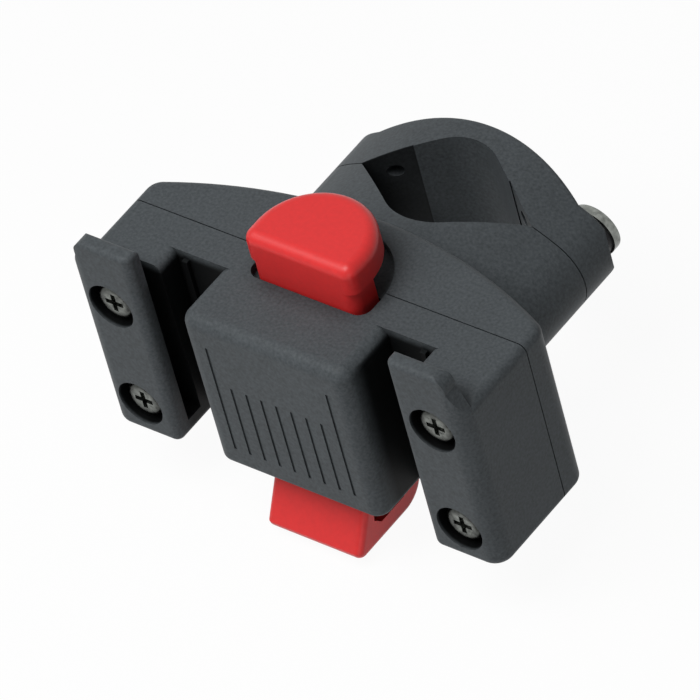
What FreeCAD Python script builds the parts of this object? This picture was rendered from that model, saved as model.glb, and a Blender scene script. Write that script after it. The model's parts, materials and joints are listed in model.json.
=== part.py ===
import FreeCAD, Part
import math
import os
import Sketcher

# Driving sizes in millimetres. The origin is on the tube clamp's axis at the clamp's middle height.
# X runs across the adapter, -Y points to its front and +Z points up along the tube.
driving = [
    ("housing_width", 101.6, "across the two wings"),
    ("housing_height", 45.0, "housing top to wing bottom"),
    ("housing_top", 24.7, "housing top above the clamp's middle plane"),
    ("parting_offset", 38.0, "tube axis to the parting plane of the shells"),
    ("front_depth", 22.3, "parting plane to the front of the wings"),
    ("slab_depth", 8.1, "parting plane to the rear wall of the side slots"),
    ("rear_depth", 18.0, "parting plane to the rear of the housing at its middle"),
    ("rear_side_depth", 6.6, "parting plane to the rear of the housing at its sides"),
    ("rear_corner_round", 4.0, "vertical rounding of the rear corners"),
    ("edge_round", 2.0, "rounding of the housing's outer edges"),
    ("wing_width", 17.6, "wing from its inner wall to its side"),
    ("wing_corner", 4.2, "vertical rounding from a wing's front to its side"),
    ("inner_round", 2.0, "rounding of a wing's inner edges"),
    ("shoulder_setback", 7.6, "wing front to the front edge of a wing's top"),
    ("shoulder_drop", 1.6, "housing top to the lower end of the sloping shoulder"),
    ("flare_rise", 4.9, "housing top to where a front plate gets wider"),
    ("toe_round", 3.0, "rounding from a wing's front to its bottom"),
    ("lip_inset", 2.9, "housing side to the outer end of a front plate"),
    ("lip_rise", 8.9, "front plate above the housing top"),
    ("lip_thickness", 3.9, "front plate from front to rear"),
    ("lip_corner", 3.0, "outer top corner of a front plate"),
    ("lip_round", 1.2, "edge rounding of a front plate"),
    ("channel_width", 4.4, "rail channel behind a front plate"),
    ("channel_reach", 5.0, "rail channel into the wing"),
    ("channel_floor", 4.0, "wing bottom to the rail channel's floor"),
    ("block_half", 21.6, "half the width of the middle block"),
    ("block_depth", 23.6, "parting plane to the front of the middle block"),
    ("block_height", 42.4, "height of the middle block"),
    ("block_corner", 3.4, "vertical corners of the middle block"),
    ("block_round", 3.0, "top edges of the middle block"),
    ("block_foot", 1.6, "bottom edges of the middle block"),
    ("groove_width", 0.7, "grip groove across"),
    ("groove_depth", 0.3, "grip groove into the block"),
    ("groove_pitch", 3.9, "grip groove to grip groove"),
    ("groove_foot", 37.0, "housing top to the lower end of the grooves"),
    ("groove_low", 17.6, "housing top to the upper end of the middle grooves"),
    ("groove_high", 7.4, "housing top to the upper end of the outermost grooves"),
    ("screw_inset", 9.1, "housing side to the housing screws"),
    ("screw_upper", 7.6, "housing top to the upper screws"),
    ("screw_lower", 36.2, "housing top to the lower screws"),
    ("screw_diameter", 4.0, "housing screw shank"),
    ("screw_head", 9.0, "housing screw head"),
    ("screw_head_height", 2.6, "housing screw head"),
    ("screw_bore", 11.4, "counterbore for a housing screw"),
    ("screw_sink", 3.8, "depth of a screw counterbore"),
    ("screw_bite", 6.5, "screw length in the rear shell"),
    ("recess_length", 4.6, "cross recess of a screw"),
    ("recess_width", 1.2, "cross recess of a screw"),
    ("recess_depth", 1.3, "cross recess of a screw"),
    ("slider_thickness", 7.0, "front to rear of the slider's shank"),
    ("slider_rear_gap", 0.4, "shank to the parting plane"),
    ("slide_gap", 0.35, "clearance around the slider"),
    ("hook_half", 12.3, "half the width of the hook and shank"),
    ("neck_half", 13.4, "half the width of the slider's neck"),
    ("head_half", 14.2, "half the width of the button"),
    ("neck_drop", 10.0, "housing top to the lower end of the neck"),
    ("head_height", 7.0, "button thickness"),
    ("head_lift", 4.9, "housing top to the button's underside"),
    ("head_centre", 2.0, "parting plane to the centre of the button's round end"),
    ("head_round", 2.6, "edge rounding of the button"),
    ("well_half", 15.4, "half the width of the well under the button"),
    ("well_depth", 2.2, "depth of the well under the button"),
    ("hook_bottom", 58.4, "housing top to the hook's underside"),
    ("hook_floor", 4.6, "thickness of the hook's floor"),
    ("hook_heel", 7.5, "rounding at the hook's rear"),
    ("hook_reach", 24.1, "parting plane to the front of the hook"),
    ("hook_toe", 2.2, "rounding under the hook's front"),
    ("hook_tip", 17.0, "parting plane to the hook's tip"),
    ("hook_tip_drop", 44.2, "housing top to the hook's tip"),
    ("hook_inner", 15.6, "parting plane to the inner face of the hook's tip"),
    ("throat_foot", 17.4, "parting plane to the inner face of the hook at its foot"),
    ("throat_corner", 2.0, "bevel in the hook's inner corner"),
    ("hook_round", 1.5, "edge rounding of the hook"),
    ("travel", 5.5, "button travel"),
    ("window_half", 4.2, "half the width of the spring window"),
    ("window_bottom", 36.5, "housing top to the window's lower edge"),
    ("window_height", 18.0, "spring window in the shank"),
    ("ledge_half", 3.4, "half the width of the spring ledge"),
    ("ledge_height", 3.8, "height of the spring ledge"),
    ("ledge_reach", 6.4, "spring ledge in front of the parting plane"),
    ("stop_gap", 0.2, "ledge to the window's lower edge at rest"),
    ("spring_radius", 2.5, "mean radius of the return spring"),
    ("spring_wire", 0.9, "wire of the return spring"),
    ("spring_turns", 6.0, "turns of the return spring"),
    ("tube_radius", 12.5, "clamped tube"),
    ("jaw_corner", 22.0, "middle plane to the corner of the tube opening"),
    ("oval_half_width", 33.2, "half the width of the clamp's oval section"),
    ("oval_half_height", 17.2, "half the height of the clamp's oval section"),
    ("oval_end", 11.0, "end radius of the clamp's oval section"),
    ("neck_root", 6.0, "overlap of the clamp's neck with the housing"),
    ("cap_gap", 0.25, "clamp cap to the fixed jaw"),
    ("cap_depth", 17.7, "tube axis to the rear of the clamp cap"),
    ("cap_radius", 55.0, "rear face of the clamp cap"),
    ("cap_round", 1.0, "edge rounding of the clamp cap's rear"),
    ("cap_bevel", 2.0, "outer corners of the clamp cap's seats"),
    ("flank_near", 12.5, "middle plane to the inner end of a recess in the cap's jaw"),
    ("flank_depth", 0.3, "recess in the cap's jaw"),
    ("pin_across", 16.8, "middle plane to a blind hole in the cap's jaw"),
    ("pin_level", 9.0, "blind hole above the clamp's middle plane"),
    ("pin_bore", 3.2, "blind hole across"),
    ("pin_depth", 7.6, "tube axis to the end of a blind hole"),
    ("bolt_across", 25.7, "middle plane to a clamp bolt"),
    ("bolt_level", 0.5, "clamp bolts above the clamp's middle plane"),
    ("bolt_diameter", 6.0, "clamp bolt shank"),
    ("bolt_head", 12.0, "clamp bolt head"),
    ("bolt_rim", 2.0, "straight rim of the bolt head"),
    ("bolt_dome", 0.9, "domed part of the bolt head"),
    ("bolt_socket", 4.0, "hexagon socket across flats"),
    ("bolt_socket_depth", 1.9, "hexagon socket"),
    ("bolt_seat", 11.4, "tube axis to the flat seats of the washers"),
    ("bolt_clearance", 0.2, "radial clearance of the bolt holes"),
    ("washer_outer", 11.0, "washer across"),
    ("washer_thickness", 1.4, "washer"),
    ("nut_flats", 10.0, "nut across flats"),
    ("nut_thickness", 5.0, "nut"),
    ("nut_seat", 18.0, "tube axis to the nut's seat"),
    ("nut_play", 0.15, "clearance around a nut's flats"),
    ("thread_gap", 0.05, "radial clearance of the nut on the bolt"),
    ("bolt_tip", 2.0, "bolt beyond the nut"),
    ("core_near", 6.0, "middle plane to the rear shell's hollow"),
    ("core_far", 19.5, "middle plane to the far side of the rear shell's hollow"),
    ("core_depth", 9.0, "rear shell's hollow behind the parting plane"),
    ("core_wall", 6.0, "wall above and below the hollows"),
    ("wing_core_wall", 3.0, "wall around the hollow in a wing"),
    ("wing_core_depth", 10.5, "hollow in a wing"),
    ("seam_gap", 0.25, "joint line groove across"),
    ("seam_depth", 1.2, "joint line groove into the rear shell"),
    ("rib_across", 30.2, "middle plane to the rib in a side slot"),
    ("rib_width", 1.4, "rib in a side slot"),
    ("rib_height", 1.0, "rib above the slot's rear wall"),
    ("overcut", 1.0, "cutting tools beyond the faces they cut through"),
    ("seat_play", 0.05, "end clearance of the return spring"),
]

doc = FreeCAD.newDocument("bag_adapter")
sheet = doc.addObject("Spreadsheet::Sheet", "Sizes")
for row, (alias, amount, note) in enumerate(driving, start=1):
    sheet.set(f"A{row}", note)
    sheet.set(f"B{row}", str(amount))
    sheet.setAlias(f"B{row}", alias)
doc.recompute()


class Size:
    """A length and the sheet expression that drives it."""

    def __init__(self, value, text):
        self.value = value
        self.text = text

    def __add__(self, other):
        return Size(self.value + plain(other).value, f"({self.text} + {plain(other).text})")

    def __sub__(self, other):
        return Size(self.value - plain(other).value, f"({self.text} - {plain(other).text})")

    def __mul__(self, other):
        return Size(self.value * plain(other).value, f"({self.text} * {plain(other).text})")

    def __truediv__(self, other):
        return Size(self.value / plain(other).value, f"({self.text} / {plain(other).text})")

    def __neg__(self):
        return Size(-self.value, f"(-1 * {self.text})")

    def root(self):
        return Size(math.sqrt(self.value), f"sqrt({self.text})")


def plain(amount):
    return amount if isinstance(amount, Size) else Size(float(amount), f"({float(amount)})")


def cell(alias):
    return Size(float(sheet.get(alias)), f"Sizes.{alias}")


size = {alias: cell(alias) for alias, amount, note in driving}
zero = plain(0)


def new_body(name):
    body = doc.addObject("PartDesign::Body", name)
    body.AllowCompound = True
    return body


def new_sketch(body, name, plane, lift):
    sketch = body.newObject("Sketcher::SketchObject", name)
    base = [part for part in body.Origin.OriginFeatures if part.Role == plane][0]
    sketch.AttachmentSupport = [(base, "")]
    sketch.MapMode = "FlatFace"
    sketch.setExpression("AttachmentOffset.Base.z", lift.text)
    return sketch


def bind(sketch, kind, places, amount):
    """Adds a dimension and ties it to the sheet; an amount below zero is measured backwards."""
    if amount.value < 0:
        places = places[2:] + places[:2]
        amount = -amount
    index = sketch.addConstraint(Sketcher.Constraint(kind, *places, amount.value))
    sketch.setExpression(f"Constraints[{index}]", amount.text)


def pin(sketch, item, end, x, y):
    """Ties one point of a sketch item to a position."""
    if abs(x.value) < 1e-9:
        sketch.addConstraint(Sketcher.Constraint("PointOnObject", item, end, -2))
    else:
        bind(sketch, "DistanceX", (-1, 1, item, end), x)
    if abs(y.value) < 1e-9:
        sketch.addConstraint(Sketcher.Constraint("PointOnObject", item, end, -1))
    else:
        bind(sketch, "DistanceY", (-1, 1, item, end), y)


def arc_between(first, last, radius, turn):
    """The minor arc from first to last, to the left for turn 1 and to the right for turn -1."""
    middle = (first + last) * 0.5
    chord = last - first
    side = FreeCAD.Vector(-chord.y, chord.x, 0).normalize() * turn
    centre = middle + side * math.sqrt(max(radius * radius - chord.Length ** 2 / 4, 0))
    start = math.atan2(first.y - centre.y, first.x - centre.x)
    stop = math.atan2(last.y - centre.y, last.x - centre.x)
    circle = Part.Circle(centre, FreeCAD.Vector(0, 0, 1), radius)
    return Part.ArcOfCircle(circle, start, stop) if turn > 0 else Part.ArcOfCircle(circle, stop, start)


def add_loop(sketch, corners):
    """Closed outline. A corner is (x, y), or (x, y, radius, turn) when an arc leads to it."""
    points = [FreeCAD.Vector(corner[0].value, corner[1].value, 0) for corner in corners]
    ends = []
    for index, corner in enumerate(corners):
        first, last = points[index - 1], points[index]
        if len(corner) == 2:
            item = sketch.addGeometry(Part.LineSegment(first, last), False)
            ends.append((item, 1, 2))
        else:
            item = sketch.addGeometry(arc_between(first, last, corner[2].value, corner[3]), False)
            ends.append((item, 1, 2) if corner[3] > 0 else (item, 2, 1))
    for index, corner in enumerate(corners):
        item, start, stop = ends[index]
        following = ends[(index + 1) % len(ends)]
        sketch.addConstraint(Sketcher.Constraint("Coincident", item, stop, following[0], following[1]))
        pin(sketch, item, stop, corner[0], corner[1])
        if len(corner) == 4:
            count = sketch.addConstraint(Sketcher.Constraint("Radius", item, corner[2].value))
            sketch.setExpression(f"Constraints[{count}]", corner[2].text)


def outline(body, name, plane, lift, *loops):
    sketch = new_sketch(body, name, plane, lift)
    for corners in loops:
        add_loop(sketch, corners)
    doc.recompute()
    return sketch


def disc(body, name, plane, lift, *centres):
    """Circles given as (x, y, radius)."""
    sketch = new_sketch(body, name, plane, lift)
    for x, y, radius in centres:
        circle = Part.Circle(FreeCAD.Vector(x.value, y.value, 0), FreeCAD.Vector(0, 0, 1), radius.value)
        item = sketch.addGeometry(circle, False)
        pin(sketch, item, 3, x, y)
        count = sketch.addConstraint(Sketcher.Constraint("Radius", item, radius.value))
        sketch.setExpression(f"Constraints[{count}]", radius.text)
    doc.recompute()
    return sketch


def box_loop(left, low, right, high):
    return [(left, low), (right, low), (right, high), (left, high)]


def extrude(body, kind, sketch, length, backwards):
    """A Pad or a Pocket; the volume has to change, or the direction is wrong."""
    before = body.Shape.Volume if body.Tip else 0
    feature = body.newObject(f"PartDesign::{kind}", f"{kind}_{sketch.Name}")
    feature.Profile = sketch
    feature.setExpression("Length", length.text)
    feature.Reversed = backwards
    sketch.Visibility = False
    doc.recompute()
    if abs(body.Shape.Volume - before) < 1e-3:
        raise RuntimeError(f"{feature.Name} changes nothing")
    return feature


def pad(body, sketch, length, backwards=False):
    return extrude(body, "Pad", sketch, length, backwards)


def pocket(body, sketch, length, backwards=False):
    return extrude(body, "Pocket", sketch, length, backwards)


def level(edge, axis, value):
    """True where the whole edge lies at one coordinate."""
    low = getattr(edge.BoundBox, f"{axis}Min")
    high = getattr(edge.BoundBox, f"{axis}Max")
    return abs(low - value.value) < 1e-3 and abs(high - value.value) < 1e-3


def round_edges(body, name, radius, test):
    base = body.Tip
    names = [f"Edge{count}" for count, edge in enumerate(base.Shape.Edges, start=1) if test(edge)]
    feature = body.newObject("PartDesign::Fillet", name)
    feature.Base = (base, names)
    feature.setExpression("Radius", radius.text)
    doc.recompute()
    if not feature.isValid():
        raise RuntimeError(f"{name} can't round {names}")
    return feature


def fuse(name, members):
    joined = doc.addObject("Part::MultiFuse", name)
    joined.Shapes = members
    joined.Refine = True
    doc.recompute()
    return joined


def based_on(name, source):
    """A body that goes on from a joined shape."""
    body = new_body(name)
    body.BaseFeature = source
    doc.recompute()
    return body


def mirrored(name, source):
    copy = doc.addObject("Part::Mirroring", name)
    copy.Source = source
    copy.Base = FreeCAD.Vector(0, 0, 0)
    copy.Normal = FreeCAD.Vector(1, 0, 0)
    doc.recompute()
    return copy


def both_sides(name, half):
    return fuse(name, [half, mirrored(f"{name}_other_side", half)])


# Shared positions that follow from the driving sizes.
half_width = size["housing_width"] / 2
wing_inner = half_width - size["wing_width"]
lip_outer = half_width - size["lip_inset"]
screw_across = half_width - size["screw_inset"]
top = size["housing_top"]
bottom = top - size["housing_height"]
parting = -size["parting_offset"]
wing_front = parting - size["front_depth"]
slot_rear = parting - size["slab_depth"]
lip_rear = wing_front + size["lip_thickness"]
channel_rear = lip_rear + size["channel_width"]
slider_rear = parting - size["slider_rear_gap"]
slider_front = slider_rear - size["slider_thickness"]
slide_front = slider_front - size["slide_gap"]
head_centre = parting - size["head_centre"]
well_half = size["well_half"]
well_cross = (well_half * well_half - size["head_centre"] * size["head_centre"]).root()
screw_levels = [top - size["screw_upper"], top - size["screw_lower"]]
bolt_radius = size["bolt_diameter"] / 2
hole_radius = bolt_radius + size["bolt_clearance"]
ledge_low = top - size["window_bottom"] + size["stop_gap"]
ledge_high = ledge_low + size["ledge_height"]
window_low = top - size["window_bottom"]
window_high = window_low + size["window_height"]
slide_half = size["neck_half"] + size["slide_gap"]

# Front shell: block, wing, front plate and slab of the right half, joined and then cut.
block = new_body("block_half_body")
block_front = parting - size["block_depth"]
block_side = size["block_half"] - size["block_corner"]
pad(block, outline(block, "block_plan", "XY_Plane", top, [
    (zero, parting), (zero, block_front), (block_side, block_front),
    (size["block_half"], block_front + size["block_corner"], size["block_corner"], 1),
    (size["block_half"], parting)]), size["block_height"], True)
round_edges(block, "block_top_round", size["block_round"], lambda edge: level(edge, "Z", top)
            and edge.BoundBox.YMax < parting.value + 1e-3 and edge.BoundBox.XMax > 1
            and not level(edge, "Y", parting))
round_edges(block, "block_foot_round", size["block_foot"],
            lambda edge: level(edge, "Z", top - size["block_height"])
            and edge.BoundBox.XMax > 1 and not level(edge, "Y", parting))

wing = new_body("wing_half_body")
corner = size["wing_corner"]
toe = size["toe_round"]
inner = size["inner_round"]
pad(wing, outline(wing, "wing_plan", "XY_Plane", top, [
    (wing_inner, parting), (wing_inner, wing_front + inner),
    (wing_inner + inner, wing_front, inner, 1), (half_width - corner, wing_front),
    (half_width, wing_front + corner, corner, 1), (half_width, parting)]),
    size["housing_height"], True)
round_edges(wing, "wing_top_round", size["edge_round"],
            lambda edge: level(edge, "Z", top) and level(edge, "X", half_width))
round_edges(wing, "wing_foot_round", size["edge_round"],
            lambda edge: level(edge, "Z", bottom) and not level(edge, "Y", parting))
drop = size["shoulder_drop"]
setback = size["shoulder_setback"]
wing_beyond = wing_front - size["overcut"]
top_beyond = top + size["overcut"]
pocket(wing, outline(wing, "shoulder_cut", "YZ_Plane", half_width + size["overcut"], [
    (wing_front + setback, top_beyond), (wing_front + setback, top),
    (wing_front, top - drop), (wing_beyond, top - drop),
    (wing_beyond, top_beyond)]), size["wing_width"] + size["overcut"] * 2)

lip = new_body("lip_half_body")
lip_top = top + size["lip_rise"]
lip_root = top - drop - toe
lip_corner = size["lip_corner"]
lip_sweep = (corner * corner - (corner - size["lip_thickness"]) * (corner - size["lip_thickness"])).root()
pad(lip, outline(lip, "lip_plan", "XY_Plane", lip_top, [
    (wing_inner, lip_rear), (wing_inner, wing_front + inner), (wing_inner + inner, wing_front, inner, 1),
    (half_width - corner, wing_front), (half_width - corner + lip_sweep, lip_rear, corner, 1)]),
    lip_top - lip_root, True)
round_edges(lip, "lip_top_round", size["lip_round"], lambda edge: level(edge, "Z", lip_top))
lip_side = half_width + size["overcut"]
lip_beyond = lip_top + size["overcut"]
pocket(lip, outline(lip, "lip_face", "XZ_Plane", -wing_beyond, [
    (half_width, top - drop), (lip_side, top - drop), (lip_side, lip_beyond),
    (lip_outer - lip_corner, lip_beyond), (lip_outer - lip_corner, lip_top),
    (lip_outer, lip_top - lip_corner, lip_corner, -1), (lip_outer, top + size["flare_rise"])]),
    size["lip_thickness"] + size["overcut"] * 2)

slab = new_body("slab_half_body")
edge_radius = size["edge_round"]
slab_reach = wing_inner + inner * 2
pad(slab, outline(slab, "slab_plan", "XY_Plane", top,
                  box_loop(zero, slot_rear, slab_reach, parting)), size["housing_height"], True)
rib_side = size["rib_across"] + size["rib_width"]
pad(slab, outline(slab, "slot_rib", "XY_Plane", top - edge_radius, box_loop(
    size["rib_across"], slot_rear - size["rib_height"], rib_side, slot_rear)),
    size["housing_height"] - edge_radius * 2, True)

front_half = based_on("front_shell_half", fuse("front_solid", [block, wing, lip, slab]))
channel_end = wing_inner + size["channel_reach"]
channel_start = wing_inner - inner
pocket(front_half, outline(front_half, "channel_plan", "XY_Plane", bottom + size["channel_floor"],
                           box_loop(channel_start, lip_rear, channel_end, channel_rear)),
       size["housing_height"], True)
screw_hole = size["screw_diameter"] / 2 + size["bolt_clearance"]
pocket(front_half, disc(front_half, "screw_holes", "XZ_Plane", -wing_front,
                        *[(screw_across, z, screw_hole) for z in screw_levels]),
       size["front_depth"] + size["overcut"])
pocket(front_half, disc(front_half, "screw_counterbores", "XZ_Plane", -wing_front,
                        *[(screw_across, z, size["screw_bore"] / 2) for z in screw_levels]),
       size["screw_sink"])
groove_half = size["groove_width"] / 2
groove_steps = [0, 1, 2, 3, 4]
groove_tops = [top - size["groove_low"]] * 4 + [top - size["groove_high"]]
groove_loops = [box_loop(zero if step == 0 else size["groove_pitch"] * step - groove_half,
                         top - size["groove_foot"],
                         size["groove_pitch"] * step + groove_half, groove_tops[step])
                for step in groove_steps]
pocket(front_half, outline(front_half, "grooves", "XZ_Plane", -block_front, *groove_loops),
       size["groove_depth"])
shank_half = size["hook_half"] + size["slide_gap"]
pocket(front_half, outline(front_half, "shank_way", "XY_Plane", top,
                           box_loop(zero, slide_front, shank_half, parting)),
       size["housing_height"] + size["block_height"])
way_corner = size["head_round"] + size["slide_gap"]
pocket(front_half, outline(front_half, "neck_way", "XY_Plane", top, [
    (zero, parting), (zero, slide_front), (slide_half - way_corner, slide_front),
    (slide_half, slide_front + way_corner, way_corner, 1), (slide_half, parting)]),
    size["neck_drop"] + size["travel"] + size["slide_gap"])
pocket(front_half, outline(front_half, "front_well", "XY_Plane", top, [
    (zero, slide_front), (well_half - way_corner, slide_front),
    (well_half, slide_front + way_corner, way_corner, 1), (well_half, head_centre),
    (well_cross, parting, well_half, 1), (zero, parting)]), size["well_depth"])
core_low = screw_levels[1] + size["screw_bore"] / 2 + size["wing_core_wall"]
core_high = screw_levels[0] - size["screw_bore"] / 2 - size["wing_core_wall"]
pocket(front_half, outline(front_half, "wing_hollow", "XZ_Plane", -parting, box_loop(
    wing_inner + size["wing_core_wall"], core_low,
    half_width - size["wing_core_wall"], core_high)), size["wing_core_depth"], True)
front_shell = both_sides("front_shell", front_half)

# Rear shell: arched back, oval neck with the fixed jaw, nut pockets and the spring ledge.
back = new_body("back_half_body")
sagitta = size["rear_depth"] - size["rear_side_depth"]
rear_radius = (half_width * half_width + sagitta * sagitta) / (sagitta * 2)
rear_side = parting + size["rear_side_depth"]
rear_apex = parting + size["rear_depth"]
pad(back, outline(back, "back_plan", "XY_Plane", top, [
    (zero, parting), (half_width, parting), (half_width, rear_side),
    (zero, rear_apex, rear_radius, 1)]), size["housing_height"], True)
round_edges(back, "back_corner_round", size["rear_corner_round"],
            lambda edge: level(edge, "X", half_width) and level(edge, "Y", rear_side))
round_edges(back, "back_edge_round", size["edge_round"],
            lambda edge: (level(edge, "Z", top) or level(edge, "Z", bottom))
            and not level(edge, "Y", parting) and not level(edge, "X", zero))
seam = size["seam_depth"]
seam_side = half_width + size["overcut"]
bottom_beyond = bottom - size["overcut"]
pocket(back, outline(back, "seam_groove", "XZ_Plane", -parting, [
    (zero, top_beyond), (zero, top - seam), (half_width - seam, top - seam),
    (half_width - seam, bottom + seam), (zero, bottom + seam), (zero, bottom_beyond),
    (seam_side, bottom_beyond), (seam_side, top_beyond)]), size["seam_gap"])

end = size["oval_end"]
end_x = size["oval_half_width"] - end
rise = size["oval_half_height"] - end


def oval_loop():
    """Half of the clamp's section."""
    crown_drop = (end_x * end_x - rise * rise) / (rise * 2)
    crown = size["oval_half_height"] + crown_drop
    x = end_x + end_x * end / (crown - end)
    z = end * crown_drop / (crown - end)
    high = size["oval_half_height"]
    return [(zero, -high), (x, -z, crown, 1), (x, z, end, 1), (zero, high, crown, 1)]


jaw_ratio = size["tube_radius"] / size["jaw_corner"]


def jaw_loop(side):
    """Half of the tube opening on one side of the clamp's parting plane."""
    touch = (plain(1) - jaw_ratio * jaw_ratio).root() * size["tube_radius"] * side
    return [(zero, zero), (size["jaw_corner"], zero), (size["tube_radius"] * jaw_ratio, touch),
            (zero, size["tube_radius"] * side, size["tube_radius"], side)]


stem = new_body("stem_half_body")
stem_length = -(rear_apex - size["neck_root"] - size["rear_side_depth"])
pad(stem, outline(stem, "stem_section", "XZ_Plane", zero, oval_loop()), stem_length)

rear_half = based_on("rear_shell_half", fuse("rear_solid", [back, stem]))
through = (size["oval_half_height"] + size["overcut"]) * 2
oval_beyond = size["oval_half_height"] + size["overcut"]
pocket(rear_half, outline(rear_half, "fixed_jaw", "XY_Plane", oval_beyond, jaw_loop(-1)), through)
pocket(rear_half, outline(rear_half, "rear_well", "XY_Plane", top, [
    (zero, parting), (well_cross, parting), (zero, head_centre + well_half, well_half, 1)]),
    size["well_depth"])
pocket(rear_half, disc(rear_half, "bolt_hole", "XZ_Plane", zero,
                       (size["bolt_across"], size["bolt_level"], hole_radius)),
       size["nut_seat"] + size["overcut"], True)


def hexagon(centre_x, centre_z, flats):
    """Points up and down; flats is the size across flats."""
    tip = flats / math.sqrt(3)
    side = flats / 2
    low = centre_z - tip / 2
    high = centre_z + tip / 2
    return [(centre_x + side, low), (centre_x + side, high), (centre_x, centre_z + tip),
            (centre_x - side, high), (centre_x - side, low), (centre_x, centre_z - tip)]


pocket(rear_half, outline(rear_half, "nut_pocket", "XZ_Plane", -parting, hexagon(
    size["bolt_across"], size["bolt_level"], size["nut_flats"] + size["nut_play"] * 2)),
    size["parting_offset"] - size["nut_seat"])
pocket(rear_half, disc(rear_half, "pilot_holes", "XZ_Plane", -parting,
                       *[(screw_across, z, size["screw_diameter"] / 2) for z in screw_levels]),
       size["screw_bite"])
pocket(rear_half, outline(rear_half, "rear_hollow", "XZ_Plane", -parting, box_loop(
    size["core_near"], bottom + size["core_wall"], size["core_far"],
    top - size["core_wall"])), size["core_depth"])
pad(rear_half, outline(rear_half, "spring_ledge", "XZ_Plane", -parting, box_loop(
    zero, ledge_low, size["ledge_half"], ledge_high)), size["ledge_reach"])
rear_shell = both_sides("rear_shell", rear_half)

# Clamp cap: oval section cut to the arched rear face, with flat seats for the bolts.
cap_half = new_body("clamp_cap_half")
pad(cap_half, outline(cap_half, "cap_section", "XZ_Plane", -size["cap_gap"], oval_loop()),
    size["cap_depth"] - size["cap_gap"], True)
cap_over = size["oval_half_width"] + size["overcut"]
cap_beyond = size["cap_depth"] + size["overcut"]
seat_fall = size["cap_depth"] - size["bolt_seat"]
seat_start = (seat_fall * (size["cap_radius"] * 2 - seat_fall)).root()
pocket(cap_half, outline(cap_half, "cap_back", "XY_Plane", oval_beyond, [
    (zero, size["cap_depth"]), (seat_start, size["bolt_seat"], size["cap_radius"], -1),
    (size["oval_half_width"] - size["cap_bevel"], size["bolt_seat"]),
    (size["oval_half_width"], size["bolt_seat"] - size["cap_bevel"]),
    (cap_over, size["bolt_seat"] - size["cap_bevel"]), (cap_over, cap_beyond),
    (zero, cap_beyond)]), through)
round_edges(cap_half, "cap_edge_round", size["cap_round"],
            lambda edge: edge.BoundBox.YMin > size["bolt_seat"].value - 1e-3
            and edge.BoundBox.ZMax - edge.BoundBox.ZMin < size["oval_half_height"].value
            and not level(edge, "X", zero))
pocket(cap_half, outline(cap_half, "moving_jaw", "XY_Plane", oval_beyond, jaw_loop(1)), through)
pocket(cap_half, disc(cap_half, "bolt_face", "XZ_Plane", -size["bolt_seat"],
                      (size["bolt_across"], size["bolt_level"],
                       size["bolt_head"] / 2 + size["slide_gap"])),
       size["cap_depth"] - size["bolt_seat"])
pocket(cap_half, disc(cap_half, "cap_hole", "XZ_Plane", -size["bolt_seat"],
                      (size["bolt_across"], size["bolt_level"], hole_radius)), size["bolt_seat"], True)
flank_slope = (plain(1) - jaw_ratio * jaw_ratio).root() * size["tube_radius"] / (
    size["jaw_corner"] - size["tube_radius"] * jaw_ratio)
flank_near = (size["jaw_corner"] - size["flank_near"]) * flank_slope
pocket(cap_half, outline(cap_half, "flank_recess", "XY_Plane", oval_beyond, [
    (size["flank_near"], flank_near - size["overcut"]), (size["jaw_corner"], -size["overcut"]),
    (size["jaw_corner"], size["flank_depth"]),
    (size["flank_near"], flank_near + size["flank_depth"])]), through)
pocket(cap_half, disc(cap_half, "pin_hole", "XZ_Plane", zero,
                      (size["pin_across"], size["pin_level"], size["pin_bore"] / 2)), size["pin_depth"])
clamp_cap = both_sides("clamp_cap", cap_half)

# Release slider: J-shaped shank and hook, neck and D-shaped button, spring window.
shank = new_body("shank_half_body")
hook_low = top - size["hook_bottom"]
heel = size["hook_heel"]
hook_toe = size["hook_toe"]
hook_front = parting - size["hook_reach"]
hook_tip_z = top - size["hook_tip_drop"]
hook_floor = hook_low + size["hook_floor"]
hook_inner = parting - size["hook_inner"]
hook_tip = parting - size["hook_tip"]
throat = size["throat_corner"]
throat_foot = parting - size["throat_foot"]
shank_top = top - size["neck_drop"] / 2
pad(shank, outline(shank, "hook_side", "YZ_Plane", zero, [
    (slider_rear, shank_top), (slider_front, shank_top), (slider_front, hook_floor),
    (throat_foot + throat, hook_floor), (throat_foot, hook_floor + throat),
    (hook_inner, hook_tip_z), (hook_tip, hook_tip_z),
    (hook_front, hook_low + hook_toe), (hook_front + hook_toe, hook_low, hook_toe, 1),
    (slider_rear - heel, hook_low), (slider_rear, hook_low + heel, heel, 1)]), size["hook_half"])
round_edges(shank, "hook_round_edges", size["hook_round"],
            lambda edge: level(edge, "X", size["hook_half"])
            and edge.BoundBox.ZMin < hook_floor.value - 1e-3)

button = new_body("button_half_body")
neck_half = size["neck_half"]
head_half = size["head_half"]
head_low = top + size["head_lift"]
pad(button, outline(button, "button_plan", "XY_Plane", head_low, [
    (zero, slider_front), (head_half, slider_front), (head_half, head_centre),
    (zero, head_centre + head_half, head_half, 1)]), size["head_height"])
round_edges(button, "button_corner_round", size["head_round"],
            lambda edge: level(edge, "X", head_half) and level(edge, "Y", slider_front))
round_edges(button, "button_edge_round", size["head_round"],
            lambda edge: level(edge, "Z", head_low + size["head_height"]) and not level(edge, "X", zero))

neck = new_body("neck_half_body")
pad(neck, outline(neck, "neck_plan", "XY_Plane", head_low + size["head_round"],
                  box_loop(zero, slider_front, neck_half, slider_rear)),
    size["head_lift"] + size["head_round"] + size["neck_drop"], True)
round_edges(neck, "neck_corner_round", size["head_round"],
            lambda edge: level(edge, "X", neck_half) and level(edge, "Y", slider_front))

slider_half = based_on("release_slider_half", fuse("slider_solid", [shank, button, neck]))
pocket(slider_half, outline(slider_half, "spring_window", "XZ_Plane", -slider_rear, box_loop(
    zero, window_low, size["window_half"], window_high)), size["slider_thickness"], True)
release_slider = both_sides("release_slider", slider_half)

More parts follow.
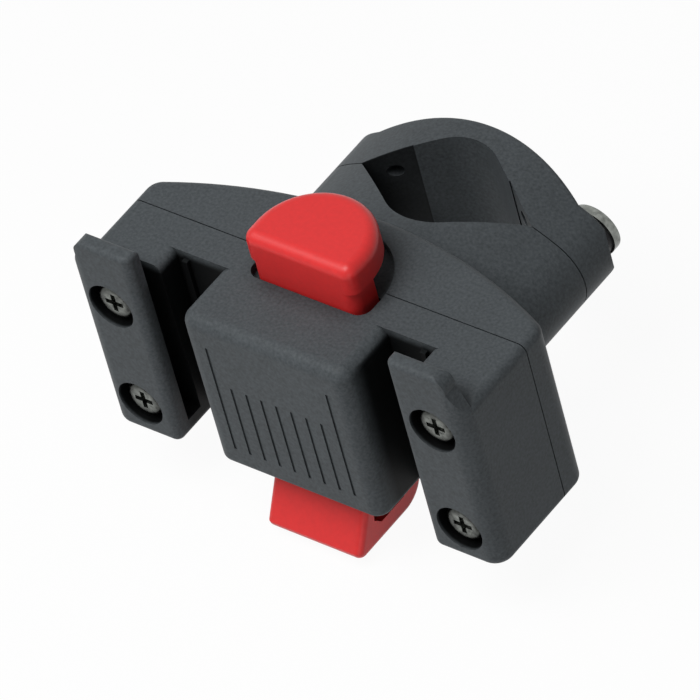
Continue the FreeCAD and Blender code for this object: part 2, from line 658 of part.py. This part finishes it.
# Return spring between the ledge and the top of the window.
return_spring = new_body("return_spring")
spring_y = slider_rear - size["slider_thickness"] / 2
return_spring.setExpression("Placement.Base.y", spring_y.text)
return_spring.setExpression("Placement.Base.z", (ledge_high + size["spring_wire"] / 2 + size["seat_play"]).text)
spring_room = window_high - ledge_high - size["spring_wire"] - size["seat_play"] * 2
coil = return_spring.newObject("PartDesign::AdditiveHelix", "coil")
coil_sketch = disc(return_spring, "spring_section", "XZ_Plane", zero,
                   (size["spring_radius"], zero, size["spring_wire"] / 2))
coil.Profile = coil_sketch
coil.ReferenceAxis = (coil_sketch, ["V_Axis"])
coil.Mode = 1
coil.setExpression("Pitch", (spring_room / size["spring_turns"]).text)
coil.setExpression("Height", spring_room.text)
coil.setExpression("Turns", size["spring_turns"].text)
return_spring.Tip = coil
doc.recompute()


def turned(name, corners, x, z):
    """A body turned about an axis along Y through (x, z); corners are (radius, y)."""
    body = new_body(name)
    body.setExpression("Placement.Base.x", x.text)
    body.setExpression("Placement.Base.z", z.text)
    section = outline(body, f"{name}_section", "XY_Plane", zero, corners)
    feature = body.newObject("PartDesign::Revolution", f"{name}_turned")
    feature.Profile = section
    feature.ReferenceAxis = (section, ["V_Axis"])
    feature.Angle = 360
    section.Visibility = False
    doc.recompute()
    return body


# Housing screws, all in one node.
screw_seat = wing_front + size["screw_sink"]
screw_end = parting + size["screw_bite"] - size["slide_gap"]
head_front = screw_seat - size["screw_head_height"]
screw_radius = size["screw_diameter"] / 2
screw_head = size["screw_head"] / 2
dome = size["screw_head_height"] / 2
recess = size["recess_length"] / 2
recess_side = size["recess_width"] / 2
screws = []
for place, screw_z in zip(("upper", "lower"), screw_levels):
    screw = turned(f"screw_{place}", [
        (zero, screw_end), (zero, head_front), (screw_head - dome, head_front),
        (screw_head, head_front + dome, dome, 1), (screw_head, screw_seat),
        (screw_radius, screw_seat), (screw_radius, screw_end)], screw_across, screw_z)
    for way, across, up in (("flat", recess, recess_side), ("upright", recess_side, recess)):
        pocket(screw, outline(screw, f"{place}_{way}", "XZ_Plane", -head_front,
                              box_loop(-across, -up, across, up)), size["recess_depth"])
    screws += [screw, mirrored(f"screw_{place}_left", screw)]
housing_screws = doc.addObject("Part::Compound", "housing_screws")
housing_screws.Links = screws

# Clamp bolts, washers and nuts.
head_seat = size["bolt_seat"] + size["washer_thickness"]
bolt_head = size["bolt_head"] / 2
bolt_end = -(size["nut_seat"] + size["nut_thickness"] + size["bolt_tip"])
dome_top = head_seat + size["bolt_rim"] + size["bolt_dome"]
dome_radius = (bolt_head * bolt_head + size["bolt_dome"] * size["bolt_dome"]) / (size["bolt_dome"] * 2)
for side, place in ((1, "right"), (-1, "left")):
    across = size["bolt_across"] * side
    bolt = turned(f"clamp_bolt_{place}", [
        (zero, bolt_end), (bolt_radius, bolt_end), (bolt_radius, head_seat), (bolt_head, head_seat),
        (bolt_head, head_seat + size["bolt_rim"]), (zero, dome_top, dome_radius, 1)],
        across, size["bolt_level"])
    pocket(bolt, outline(bolt, f"socket_{place}", "XZ_Plane", -dome_top,
                         hexagon(zero, zero, size["bolt_socket"])), size["bolt_socket_depth"], True)

washers = []
nuts = []
for side, place in ((1, "right"), (-1, "left")):
    across = size["bolt_across"] * side
    washers.append(turned(f"washer_{place}", [
        (hole_radius, head_seat), (hole_radius, size["bolt_seat"]),
        (size["washer_outer"] / 2, size["bolt_seat"]), (size["washer_outer"] / 2, head_seat)],
        across, size["bolt_level"]))
    nut = new_body(f"nut_{place}")
    nut.setExpression("Placement.Base.x", across.text)
    nut.setExpression("Placement.Base.z", size["bolt_level"].text)
    pad(nut, outline(nut, f"nut_{place}_section", "XZ_Plane", size["nut_seat"],
                     hexagon(zero, zero, size["nut_flats"])), size["nut_thickness"])
    pocket(nut, disc(nut, f"nut_{place}_bore", "XZ_Plane", size["nut_seat"],
                     (zero, zero, bolt_radius + size["thread_gap"])), size["nut_thickness"], True)
    nuts.append(nut)
clamp_washers = doc.addObject("Part::Compound", "clamp_washers")
clamp_washers.Links = washers
clamp_nuts = doc.addObject("Part::Compound", "clamp_nuts")
clamp_nuts.Links = nuts
doc.recompute()

nodes = ["front_shell", "rear_shell", "release_slider", "return_spring", "housing_screws",
         "clamp_cap", "clamp_bolt_right", "clamp_bolt_left", "clamp_washers", "clamp_nuts"]
for item in doc.Objects:
    if "Invalid" in item.State or "Error" in item.State:
        raise RuntimeError(f"{item.Name} is {item.State}")
os.makedirs("parts", exist_ok=True)
for name in nodes:
    shape = doc.getObject(name).Shape
    if shape.isNull() or not shape.isValid() or not shape.Solids:
        raise RuntimeError(f"{name} has no sound solid")
    print(name, len(shape.Solids), round(shape.Volume, 1), [round(v, 2) for v in (
        shape.BoundBox.XMin, shape.BoundBox.XMax, shape.BoundBox.YMin, shape.BoundBox.YMax,
        shape.BoundBox.ZMin, shape.BoundBox.ZMax)])
    doc.getObject(name).Label = name
    shape.exportStep(f"parts/{name}.step")
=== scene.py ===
import bpy
import json
import math
from mathutils import Matrix, Vector


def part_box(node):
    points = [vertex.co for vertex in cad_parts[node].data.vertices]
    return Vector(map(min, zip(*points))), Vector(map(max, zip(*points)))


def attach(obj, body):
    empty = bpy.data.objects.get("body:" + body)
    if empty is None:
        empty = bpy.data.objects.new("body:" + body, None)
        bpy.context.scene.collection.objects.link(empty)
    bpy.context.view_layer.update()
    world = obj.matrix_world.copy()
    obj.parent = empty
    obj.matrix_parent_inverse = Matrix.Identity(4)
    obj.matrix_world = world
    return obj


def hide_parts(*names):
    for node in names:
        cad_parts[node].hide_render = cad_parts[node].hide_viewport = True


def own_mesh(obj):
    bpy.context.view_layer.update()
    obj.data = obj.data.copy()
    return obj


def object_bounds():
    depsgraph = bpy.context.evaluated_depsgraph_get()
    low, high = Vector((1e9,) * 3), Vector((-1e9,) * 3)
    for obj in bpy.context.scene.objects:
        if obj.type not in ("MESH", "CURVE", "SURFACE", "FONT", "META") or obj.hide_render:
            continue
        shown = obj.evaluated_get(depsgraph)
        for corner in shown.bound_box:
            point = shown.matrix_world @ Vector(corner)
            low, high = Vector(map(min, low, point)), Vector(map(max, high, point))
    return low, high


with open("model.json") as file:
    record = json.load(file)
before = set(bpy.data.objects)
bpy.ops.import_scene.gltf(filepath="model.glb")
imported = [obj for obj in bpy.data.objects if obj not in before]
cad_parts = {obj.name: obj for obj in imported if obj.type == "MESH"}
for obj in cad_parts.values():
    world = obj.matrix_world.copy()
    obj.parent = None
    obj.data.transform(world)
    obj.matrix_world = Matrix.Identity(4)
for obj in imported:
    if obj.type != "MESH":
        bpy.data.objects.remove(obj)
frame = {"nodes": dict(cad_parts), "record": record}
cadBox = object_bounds()
print("frame loaded:", len(frame["nodes"]), "nodes")


class Tone:  # a socket that takes part in sums
    def __init__(self, recipe, socket):
        self.recipe = recipe
        self.socket = socket

    def sum(self, operation, first, second):
        return self.recipe.add("ShaderNodeMath", {"operation": operation}, {0: first, 1: second})

    def __add__(self, other):
        return self.sum("ADD", self, other)

    def __sub__(self, other):
        return self.sum("SUBTRACT", self, other)

    def __rsub__(self, other):
        return self.sum("SUBTRACT", other, self)

    def __mul__(self, other):
        return self.sum("MULTIPLY", self, other)

    def ramp(self, start, stop):  # 0 at start, 1 at stop
        return self.recipe.add("ShaderNodeMapRange", {"interpolation_type": "SMOOTHSTEP"}, {
            "Value": self, "From Min": start, "From Max": stop})

    def magnitude(self):
        return self.recipe.add("ShaderNodeMath", {"operation": "ABSOLUTE"}, {0: self})

    __radd__ = __add__
    __rmul__ = __mul__


class Recipe:  # the node tree of one material or of the world
    def __init__(self, tree):
        self.tree = tree
        tree.nodes.clear()

    def add(self, kind, settings=None, sockets=None, output=0):
        node = self.tree.nodes.new(kind)
        for name, value in (settings or {}).items():
            setattr(node, name, value)
        for name, value in (sockets or {}).items():
            if isinstance(value, Tone):
                self.tree.links.new(value.socket, node.inputs[name])
            else:
                node.inputs[name].default_value = value
        return Tone(self, node.outputs[output]) if node.outputs else node


def newRecipe(name):
    material = bpy.data.materials.new(name)
    material.use_nodes = True
    return material, Recipe(material.node_tree)


def axesOf(recipe, place):
    axes = recipe.add("ShaderNodeSeparateXYZ", None, {"Vector": place}).socket.node.outputs
    return [Tone(recipe, axes[name]) for name in ("X", "Y", "Z")]


def noise(recipe, place, scale, detail):
    return recipe.add("ShaderNodeTexNoise", None, {
        "Vector": place, "Scale": scale, "Detail": detail}, "Fac")


def swingOf(pattern, amount):  # a noise from 0 to 1 as a swing to both sides of 0
    return (pattern - 0.5) * (2.0 * amount)


# moulded plastic: fine spark-eroded grain, faint tone drift, painted shade in hollows
shellPlastic = {
    "colour": (0.063, 0.071, 0.0762), "drift": 0.12, "driftScale": 60.0, "driftDetail": 3.0, "speckle": 0.50,
    "roughness": 0.48, "roughDrift": 0.08, "specular": 0.10,
    "grainScale": 1500.0, "grainDetail": 2.0, "grainHeight": 0.00005, "grainStrength": 0.40,
    "paintedShadeReach": 0.005, "paintedShadeTone": 0.60, "paintedShadeRays": 8,  # painted shade from ambient occlusion: darker in joint lines and corners
}
sliderPlastic = {
    "colour": (0.66, 0.028, 0.028), "drift": 0.05, "driftScale": 45.0, "driftDetail": 3.0, "speckle": 0.08,
    "roughness": 0.34, "roughDrift": 0.06, "specular": 0.30,
    "grainScale": 900.0, "grainDetail": 2.0, "grainHeight": 0.00002, "grainStrength": 0.15,
    "paintedShadeReach": 0.004, "paintedShadeTone": 0.12, "paintedShadeRays": 8,
}


screwPlaces = {"across": 0.0417, "levels": (0.0171, -0.0115)}  # axes of the housing screws


def nearScrews(across, rise, reach):  # for each level, 1 close to a screw's axis
    edge = [length * length for length in reach]
    aside = across - screwPlaces["across"]
    rings = []
    for level in screwPlaces["levels"]:
        above = rise - level
        rings.append((aside * aside + above * above).ramp(*edge))
    return rings


# front shell: painted shade deep in the side slots and around the screw heads; pairs are where a ramp starts
# and ends
slotPaintedShade = {
    "tone": 0.95, "inner": (0.0209, 0.0214), "outer": (0.0395, 0.0375), "top": (0.0245, 0.0222),
    "mouth": (-0.0592, -0.0545), "back": (-0.0452, -0.0458),
    "boreEdge": (0.0060, 0.0057), "boreMouth": (-0.0602, -0.0594),
}


def slotShadeMask(recipe, place, paintedShade):
    aside, back, rise = axesOf(recipe, place)
    across = aside.magnitude()
    slots = across.ramp(*paintedShade["inner"]) * across.ramp(*paintedShade["outer"]) * rise.ramp(*paintedShade["top"])
    unshaded = 1.0 - slots * back.ramp(*paintedShade["mouth"]) * back.ramp(*paintedShade["back"])
    for ring in nearScrews(across, rise, paintedShade["boreEdge"]):
        unshaded = unshaded * (1.0 - ring * back.ramp(*paintedShade["boreMouth"]))
    return 1.0 - unshaded


# clamp cap: painted shade on the recessed left flank of the jaw
jawPaintedShade = {
    "tone": 0.75, "inner": (0.0123, 0.0127), "corner": 0.022, "slope": 0.6904,
    "behind": (0.0006, 0.00045),  # distance behind the flank
    "crownDrop": 0.0366, "crown": (0.0538, 0.0535),  # centre and radius of the cap's crown
}


# painted shade: 1 on the left jaw flank inside the crown, 0 elsewhere
def flankShadeMask(recipe, place, jawShade):
    aside, back, rise = axesOf(recipe, place)
    across = 0.0 - aside
    height = rise.magnitude() + jawShade["crownDrop"]
    behind = back - (jawShade["corner"] - across) * jawShade["slope"]
    crown = [radius * radius for radius in jawShade["crown"]]
    inside = (across * across + height * height).ramp(*crown)
    return across.ramp(*jawShade["inner"]) * behind.ramp(*jawShade["behind"]) * inside


def mouldedPlastic(name, look, mask=None, paintedShade=None):
    material, recipe = newRecipe(name)
    place = recipe.add("ShaderNodeTexCoord", output="Object")
    drift = noise(recipe, place, look["driftScale"], look["driftDetail"])
    grain = noise(recipe, place, look["grainScale"], look["grainDetail"])
    swing = 1.0 + swingOf(drift, look["drift"]) + swingOf(grain, look["speckle"])
    # painted shade: ambient occlusion darkens the colour in joint lines, corners and hollows
    opened = recipe.add("ShaderNodeAmbientOcclusion", {"samples": look["paintedShadeRays"]}, {
        "Distance": look["paintedShadeReach"]}, "AO")
    swing = swing * (1.0 - (1.0 - opened * opened) * look["paintedShadeTone"])
    # painted shade: the mask darkens the colour deep in the front shell's slots, around its screw heads and
    # on the cap's left jaw flank
    if mask:
        swing = swing * (1.0 - mask(recipe, place, paintedShade) * paintedShade["tone"])
    colour = recipe.add("ShaderNodeVectorMath", {"operation": "SCALE"}, {
        0: look["colour"], "Scale": swing})
    rough = look["roughness"] + swingOf(grain, look["roughDrift"])
    bump = recipe.add("ShaderNodeBump", None, {
        "Strength": look["grainStrength"], "Distance": look["grainHeight"], "Height": grain})
    surface = recipe.add("ShaderNodeBsdfPrincipled", None, {
        "Base Color": colour, "Roughness": rough, "Normal": bump,
        "Specular IOR Level": look["specular"]})
    recipe.add("ShaderNodeOutputMaterial", None, {"Surface": surface})
    return material


# plated and blackened steel: soft brushed tone
zincSteel = {
    "colour": (0.18, 0.189, 0.176), "roughness": 0.30, "roughDrift": 0.16,
    "mottle": 1.2, "mottleScale": 600.0, "mottleDetail": 3.0,
}
screwSteel = {  # painted highlight around the cross
    "colour": (0.050, 0.053, 0.049), "roughness": 0.30, "roughDrift": 0.16,
    "mottle": 1.5, "mottleScale": 900.0, "mottleDetail": 3.0,
    "paintedHighlight": 1.9, "paintedHighlightReach": (0.0036, 0.0017),
}
blackSteel = {
    "colour": (0.020, 0.020, 0.021), "roughness": 0.45, "roughDrift": 0.08,
    "mottle": 0.3, "mottleScale": 300.0, "mottleDetail": 3.0,
}
springSteel = {
    "colour": (0.46, 0.46, 0.45), "roughness": 0.28, "roughDrift": 0.08,
    "mottle": 0.2, "mottleScale": 500.0, "mottleDetail": 3.0,
}


def screwHighlightMask(recipe, place, look):
    aside, back, rise = axesOf(recipe, place)
    upper, lower = nearScrews(aside.magnitude(), rise, look["paintedHighlightReach"])
    return upper + lower


def platedSteel(name, look):
    material, recipe = newRecipe(name)
    place = recipe.add("ShaderNodeTexCoord", output="Object")
    mottle = noise(recipe, place, look["mottleScale"], look["mottleDetail"])
    rough = look["roughness"] + swingOf(mottle, look["roughDrift"])
    swing = 1.0 + swingOf(mottle, look["mottle"])
    # painted highlight: the colour is brighter near each screw's axis
    if "paintedHighlight" in look:
        swing = swing * (1.0 + screwHighlightMask(recipe, place, look) * look["paintedHighlight"])
    colour = recipe.add("ShaderNodeVectorMath", {"operation": "SCALE"}, {0: look["colour"], "Scale": swing})
    surface = recipe.add("ShaderNodeBsdfPrincipled", None, {
        "Base Color": colour, "Roughness": rough, "Metallic": 1.0})
    recipe.add("ShaderNodeOutputMaterial", None, {"Surface": surface})
    return material


finishes = {
    "shell_plastic": mouldedPlastic("moulded_shell", shellPlastic),
    "red_plastic": mouldedPlastic("moulded_slider", sliderPlastic),
    "zinc_steel": platedSteel("zinc_steel", zincSteel),
    "dark_steel": platedSteel("black_steel", blackSteel),
    "spring_steel": platedSteel("spring_steel", springSteel),
}
special = {  # nodes with a material of their own: painted shade on the front shell and clamp cap, painted highlight on the housing screws
    "front_shell": mouldedPlastic("moulded_front", shellPlastic, slotShadeMask, slotPaintedShade),
    "clamp_cap": mouldedPlastic("moulded_cap", shellPlastic, flankShadeMask, jawPaintedShade),
    "housing_screws": platedSteel("screw_steel", screwSteel),
}
for part in frame["record"]["subparts"]:
    mesh = frame["nodes"][part["node"]].data
    mesh.materials.clear()
    mesh.materials.append(special.get(part["node"], finishes[part["material_slot"]]))
print("finishes set:", len(finishes) + len(special))


# return spring: a wound wire at its rest length (the real spring shortens when the button goes down)
returnSpring = {"node": "return_spring", "turns": 6.0, "wire": 0.0009, "steps": 40, "sides": 10}


def coilTree():
    tree = bpy.data.node_groups.new("woundWire", "GeometryNodeTree")
    tree.interface.new_socket("Geometry", in_out="OUTPUT", socket_type="NodeSocketGeometry")
    for name in ("Turns", "Coil Radius", "Wire Radius", "Height"):
        tree.interface.new_socket(name, in_out="INPUT", socket_type="NodeSocketFloat")
    tree.interface.new_socket("Steps", in_out="INPUT", socket_type="NodeSocketInt")
    tree.interface.new_socket("Sides", in_out="INPUT", socket_type="NodeSocketInt")
    tree.interface.new_socket("Seat", in_out="INPUT", socket_type="NodeSocketVector")
    tree.interface.new_socket("Finish", in_out="INPUT", socket_type="NodeSocketMaterial")
    given = tree.nodes.new("NodeGroupInput").outputs
    spiral = tree.nodes.new("GeometryNodeCurveSpiral")
    ring = tree.nodes.new("GeometryNodeCurvePrimitiveCircle")
    skin = tree.nodes.new("GeometryNodeCurveToMesh")
    skin.inputs["Fill Caps"].default_value = True
    move = tree.nodes.new("GeometryNodeTransform")
    real = tree.nodes.new("GeometryNodeRealizeInstances")
    finish = tree.nodes.new("GeometryNodeSetMaterial")
    smooth = tree.nodes.new("GeometryNodeSetShadeSmooth")
    end = tree.nodes.new("NodeGroupOutput")
    for source, target in (
            (given["Turns"], spiral.inputs["Rotations"]),
            (given["Coil Radius"], spiral.inputs["Start Radius"]),
            (given["Coil Radius"], spiral.inputs["End Radius"]),
            (given["Height"], spiral.inputs["Height"]),
            (given["Steps"], spiral.inputs["Resolution"]),
            (given["Sides"], ring.inputs["Resolution"]),
            (given["Wire Radius"], ring.inputs["Radius"]),
            (spiral.outputs["Curve"], skin.inputs["Curve"]),
            (ring.outputs["Curve"], skin.inputs["Profile Curve"]),
            (skin.outputs["Mesh"], move.inputs["Geometry"]),
            (given["Seat"], move.inputs["Translation"]),
            (move.outputs["Geometry"], smooth.inputs["Geometry"]),
            (smooth.outputs["Geometry"], real.inputs["Geometry"]),
            (real.outputs["Geometry"], finish.inputs["Geometry"]),
            (given["Finish"], finish.inputs["Material"]),
            (finish.outputs["Geometry"], end.inputs["Geometry"])):
        tree.links.new(source, target)
    return tree


def grownMesh(name, tree, values):
    holder = bpy.data.objects.new(name + "_holder", bpy.data.meshes.new(name + "_holder"))
    bpy.context.scene.collection.objects.link(holder)
    growth = holder.modifiers.new("growth", "NODES")
    growth.node_group = tree
    for item in tree.interface.items_tree:
        if item.in_out == "INPUT":
            growth[item.identifier] = values[item.name]
    view = bpy.context.evaluated_depsgraph_get()
    mesh = bpy.data.meshes.new_from_object(holder.evaluated_get(view))
    bpy.data.objects.remove(holder)
    piece = bpy.data.objects.new(name, mesh)
    bpy.context.scene.collection.objects.link(piece)
    return piece


springLow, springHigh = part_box(returnSpring["node"])
wireRadius = returnSpring["wire"] / 2
springHeight = springHigh.z - springLow.z
springAxis = (springLow + springHigh) / 2
spring = grownMesh("wound_spring", coilTree(), {
    "Turns": returnSpring["turns"], "Coil Radius": (springHigh.x - springLow.x) / 2 - wireRadius,
    "Wire Radius": wireRadius, "Height": springHeight - returnSpring["wire"],
    "Steps": returnSpring["steps"], "Sides": returnSpring["sides"],
    "Seat": Vector((springAxis.x, springAxis.y, springLow.z + wireRadius)),
    "Finish": finishes["spring_steel"]})
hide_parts(returnSpring["node"])
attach(spring, "housing")
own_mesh(spring)
print("spring wound:", len(spring.data.polygons), "faces")


# pale floor and white background
stageLook = {"drop": 0.002, "half": 3.0, "paper": (0.80, 0.80, 0.80), "glow": 0.95}


def seenDirectly(recipe):  # 1 where the camera, a gloss or a glass looks at it
    path = recipe.add("ShaderNodeLightPath")
    rays = path.socket.node.outputs
    seen = Tone(recipe, rays["Is Camera Ray"]) + Tone(recipe, rays["Is Glossy Ray"])
    seen = seen + Tone(recipe, rays["Is Transmission Ray"])
    return recipe.add("ShaderNodeMath", {"operation": "MINIMUM"}, {0: seen, 1: 1.0})


def paleFloor():
    material, recipe = newRecipe("pale_floor")
    paper = recipe.add("ShaderNodeBsdfDiffuse", None, {"Color": (*stageLook["paper"], 1.0)})
    white = recipe.add("ShaderNodeEmission", None, {"Color": (1, 1, 1, 1), "Strength": 1.0})
    mixed = recipe.add("ShaderNodeMixShader", None, {
        0: seenDirectly(recipe) * stageLook["glow"], 1: paper, 2: white})
    recipe.add("ShaderNodeOutputMaterial", None, {"Surface": mixed})
    level, half = cadBox[0].z - stageLook["drop"], stageLook["half"]
    mesh = bpy.data.meshes.new("pale_floor")
    mesh.from_pydata([(-half, -half, level), (half, -half, level), (half, half, level),
                      (-half, half, level)], [], [(0, 1, 2, 3)])
    mesh.materials.append(material)
    floor = bpy.data.objects.new("pale_floor", mesh)
    bpy.context.scene.collection.objects.link(floor)


# studio light: soft box above, weaker ones at the front left and low at the right, even sky
studio = {
    "sky": 0.06, "aim": (0.0, -0.03, 0.0),
    "lamps": [
        {"name": "overhead", "from": (-0.06, -0.26, 0.58), "side": 0.4, "watts": 3.65},
        {"name": "front_left", "from": (-0.34, -0.38, 0.46), "side": 0.35, "watts": 0.60},
        {"name": "right", "from": (0.62, -0.70, 0.12), "side": 0.5, "watts": 1.0},
    ],
}


def softBox(lamp):
    data = bpy.data.lights.new(lamp["name"], "AREA")
    data.shape = "SQUARE"
    data.size = lamp["side"]
    data.energy = lamp["watts"]
    box = bpy.data.objects.new(lamp["name"], data)
    start, aim = Vector(lamp["from"]), Vector(studio["aim"])
    box.location = start
    box.rotation_euler = (aim - start).to_track_quat("-Z", "Y").to_euler()
    bpy.context.scene.collection.objects.link(box)


def studioSky():
    world = bpy.data.worlds.new("studio_sky")
    world.use_nodes = True
    recipe = Recipe(world.node_tree)
    level = studio["sky"] + seenDirectly(recipe) * (1.0 - studio["sky"])
    sky = recipe.add("ShaderNodeBackground", None, {"Color": (1, 1, 1, 1), "Strength": level})
    recipe.add("ShaderNodeOutputWorld", None, {"Surface": sky})
    bpy.context.scene.world = world


paleFloor()
studioSky()
for lamp in studio["lamps"]:
    softBox(lamp)
print("stage lit:", len(studio["lamps"]), "soft boxes")


# camera: where the photograph was taken from
cameraPlace = {
    "azimuth": 47.543, "elevation": 42.891, "roll": 15.875, "distance": 2.1277,
    "anchor": (0.0, -0.038, 0.0247),  # housing top at the shells' joint line
    "anchorPixel": (326.351, 271.482), "pixelsPerMetre": 4901.0, "imageSide": 700, "sensor": 36.0,
    "clip": (0.05, 20.0),
}


def photoCamera(place):
    az, el, roll = (math.radians(place[name]) for name in ("azimuth", "elevation", "roll"))
    ahead = Vector((-math.sin(az) * math.cos(el), math.cos(az) * math.cos(el), -math.sin(el)))
    level = Vector((math.cos(az), math.sin(az), 0.0))
    upright = level.cross(ahead)
    right = level * math.cos(roll) - upright * math.sin(roll)
    up = level * math.sin(roll) + upright * math.cos(roll)
    focal = place["pixelsPerMetre"] * place["distance"]
    middle = place["imageSide"] / 2
    acrossPixels = middle - place["anchorPixel"][0]
    downPixels = middle - place["anchorPixel"][1]
    spot = Vector(place["anchor"]) - ahead * place["distance"]
    aim = (ahead * focal + right * acrossPixels - up * downPixels).normalized()
    side = (right - aim * right.dot(aim)).normalized()
    rise = side.cross(aim)
    data = bpy.data.cameras.new("photo_camera")
    data.sensor_width = place["sensor"]
    data.lens = focal * place["sensor"] / place["imageSide"]
    data.clip_start, data.clip_end = place["clip"]
    camera = bpy.data.objects.new("photo_camera", data)
    turn = Matrix((side, rise, -aim)).transposed().to_4x4()
    camera.matrix_world = Matrix.Translation(spot) @ turn
    bpy.context.scene.collection.objects.link(camera)
    bpy.context.scene.camera = camera


photoCamera(cameraPlace)
bpy.context.scene.view_settings.view_transform = "Standard"
print("camera placed")
